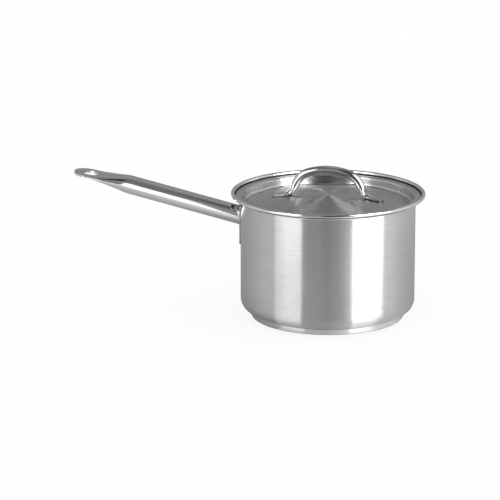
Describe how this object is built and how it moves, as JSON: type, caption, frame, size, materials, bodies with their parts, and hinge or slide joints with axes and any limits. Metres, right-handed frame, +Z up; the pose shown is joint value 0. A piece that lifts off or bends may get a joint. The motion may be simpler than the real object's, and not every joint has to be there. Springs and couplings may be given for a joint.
{
  "type": "saucepan with lid",
  "caption": "Deep round steel saucepan with a rolled rim, sandwich base, sloping tube handle with a hang hole, and a lift-off domed lid with an arched handle.",
  "frame": {"origin": "on the axis of the pan, at the face that it rests on", "axes": "+Z up along the axis of the pan; the long handle points along -X"},
  "size_m": [0.368, 0.2, 0.1577],
  "materials": {
    "brushed_body": "fine brushing around the wall, polished rim",
    "core_aluminium": "plain rolled",
    "polished_base": "polished edge, turned underside",
    "polished_bracket": "polished stainless steel",
    "polished_handle": "polished stainless steel",
    "brushed_lid": "circular brushing on the dome, wall and flange",
    "polished_grip": "polished stainless steel"
  },
  "bodies": {
    "pan": {"pan_body": "brushed_body", "base_core": "core_aluminium", "base_capsule": "polished_base", "handle_bracket": "polished_bracket", "handle_tube": "polished_handle"},
    "lid": {"lid_panel": "brushed_lid", "lid_handle": "polished_grip"}
  },
  "joints": [
    {"name": "lid_lift", "type": "slide", "parent": "pan", "child": "lid", "axis": [0, 0, 1], "range_m": [0, 0.15]}
  ]
}
